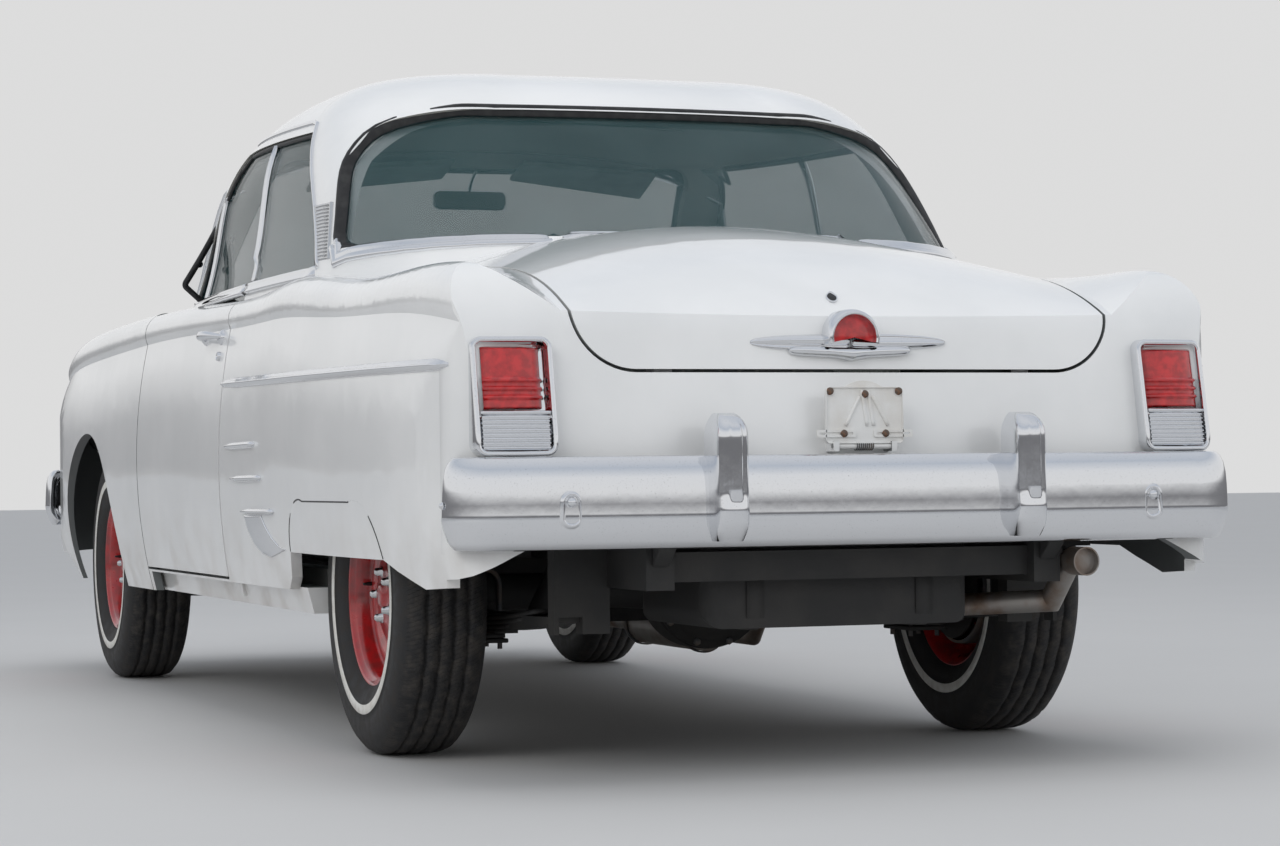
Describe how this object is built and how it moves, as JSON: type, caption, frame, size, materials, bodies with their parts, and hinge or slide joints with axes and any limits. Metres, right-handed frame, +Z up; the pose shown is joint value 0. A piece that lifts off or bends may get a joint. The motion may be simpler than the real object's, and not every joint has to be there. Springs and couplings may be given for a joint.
{
  "type": "two-door hardtop car of the 1950s",
  "caption": "Full-size two-door hardtop car with opening doors, hood and boot, steering front wheels and bright trim.",
  "frame": {"origin": "on the ground under the middle of the car", "axes": "+X towards the nose, +Y towards the car's left side, +Z up"},
  "size_m": [5.007, 1.89, 1.646],
  "materials": {
    "body_paint": "gloss white",
    "bright_chrome": "polished",
    "trim_chrome": "polished",
    "chassis_black": "satin black",
    "cast_iron": "rough",
    "exhaust_steel": "dull",
    "tinted_glass": "clear tint",
    "red_lens": "moulded",
    "seat_fabric": "woven",
    "dash_paint": "satin",
    "steering_plastic": "smooth",
    "tyre_rubber": "matte",
    "wheel_red": "gloss red"
  },
  "bodies": {
    "body": {"body_shell": "body_paint", "front_fenders": "body_paint", "fender_skirts": "body_paint", "fixed_windows": "tinted_glass", "floor_pan": "chassis_black", "chassis_frame": "chassis_black", "engine": "cast_iron", "driveline": "cast_iron", "rear_axle": "chassis_black", "leaf_springs": "chassis_black", "fuel_tank": "chassis_black", "exhaust": "exhaust_steel", "radiator_support": "chassis_black", "radiator": "chassis_black", "suspension_arms": "chassis_black", "coil_springs": "chassis_black", "front_bumper": "bright_chrome", "rear_bumper": "bright_chrome", "grille": "bright_chrome", "headlamps": "bright_chrome", "tail_lamp_frames": "bright_chrome", "tail_lamp_lenses": "red_lens", "side_trim": "trim_chrome", "front_seat": "seat_fabric", "rear_seat": "seat_fabric", "parcel_shelf": "seat_fabric", "dashboard": "dash_paint", "steering_column": "chassis_black"},
    "hood": {"hood": "body_paint"},
    "trunk_lid": {"trunk_lid": "body_paint", "trunk_emblem": "trim_chrome"},
    "door_left": {"door_left": "body_paint", "door_glass_left": "tinted_glass"},
    "door_right": {"door_right": "body_paint", "door_glass_right": "tinted_glass"},
    "knuckle_left": {"knuckle_left": "chassis_black"},
    "knuckle_right": {"knuckle_right": "chassis_black"},
    "tie_rod": {"tie_rod": "chassis_black"},
    "steering_wheel": {"steering_wheel": "steering_plastic"},
    "plate_bracket": {"plate_bracket": "trim_chrome"},
    "road_wheel_front_left": {"tyre_front_left": "tyre_rubber", "wheel_front_left": "wheel_red"},
    "road_wheel_front_right": {"tyre_front_right": "tyre_rubber", "wheel_front_right": "wheel_red"},
    "road_wheel_rear_left": {"tyre_rear_left": "tyre_rubber", "wheel_rear_left": "wheel_red"},
    "road_wheel_rear_right": {"tyre_rear_right": "tyre_rubber", "wheel_rear_right": "wheel_red"}
  },
  "joints": [
    {"name": "hood_hinge", "type": "hinge", "parent": "body", "child": "hood", "pos_m": [0.9365, 0, 1.15], "axis": [0, -1, 0], "range_deg": [0, 50]},
    {"name": "trunk_hinge", "type": "hinge", "parent": "body", "child": "trunk_lid", "pos_m": [-1.5335, 0, 1.186], "axis": [0, 1, 0], "range_deg": [0, 60]},
    {"name": "door_left_hinge", "type": "hinge", "parent": "body", "child": "door_left", "pos_m": [0.7445, 0.9, 0.7], "axis": [0, 0, -1], "range_deg": [0, 65]},
    {"name": "door_right_hinge", "type": "hinge", "parent": "body", "child": "door_right", "pos_m": [0.7445, -0.9, 0.7], "axis": [0, 0, 1], "range_deg": [0, 65]},
    {"name": "steer_left", "type": "hinge", "parent": "body", "child": "knuckle_left", "pos_m": [1.5535, 0.635, 0.355], "axis": [0, 0, 1], "range_deg": [-28, 28]},
    {"name": "steer_right", "type": "hinge", "parent": "body", "child": "knuckle_right", "pos_m": [1.5535, -0.635, 0.355], "axis": [0, 0, 1], "range_deg": [-28.5, 28.5]},
    {"name": "tie_rod_slide", "type": "slide", "parent": "body", "child": "tie_rod", "axis": [0, 1, 0], "range_m": [-0.08, 0.08]},
    {"name": "steering_wheel_turn", "type": "hinge", "parent": "body", "child": "steering_wheel", "pos_m": [0.4965, 0.37, 0.985], "axis": [-0.8829, 0, 0.4695], "range_deg": [-565, 565]},
    {"name": "plate_bracket_hinge", "type": "hinge", "parent": "body", "child": "plate_bracket", "pos_m": [-2.3805, 0, 0.67], "axis": [0, -1, 0], "range_deg": [0, 70]},
    {"name": "wheel_front_left_spin", "type": "hinge", "parent": "knuckle_left", "child": "road_wheel_front_left", "pos_m": [1.5535, 0.75, 0.355], "axis": [0, 1, 0], "continuous": true},
    {"name": "wheel_front_right_spin", "type": "hinge", "parent": "knuckle_right", "child": "road_wheel_front_right", "pos_m": [1.5535, -0.75, 0.355], "axis": [0, 1, 0], "continuous": true},
    {"name": "wheel_rear_left_spin", "type": "hinge", "parent": "body", "child": "road_wheel_rear_left", "pos_m": [-1.4435, 0.712, 0.355], "axis": [0, 1, 0], "continuous": true},
    {"name": "wheel_rear_right_spin", "type": "hinge", "parent": "body", "child": "road_wheel_rear_right", "pos_m": [-1.4435, -0.712, 0.355], "axis": [0, 1, 0], "continuous": true}
  ],
  "couplings": [
    {"joint": "steer_right", "follows": "steer_left", "ratio": 1},
    {"joint": "tie_rod_slide", "follows": "steer_left", "m_per_rad": -0.15},
    {"joint": "steering_wheel_turn", "follows": "steer_left", "ratio": 20}
  ]
}
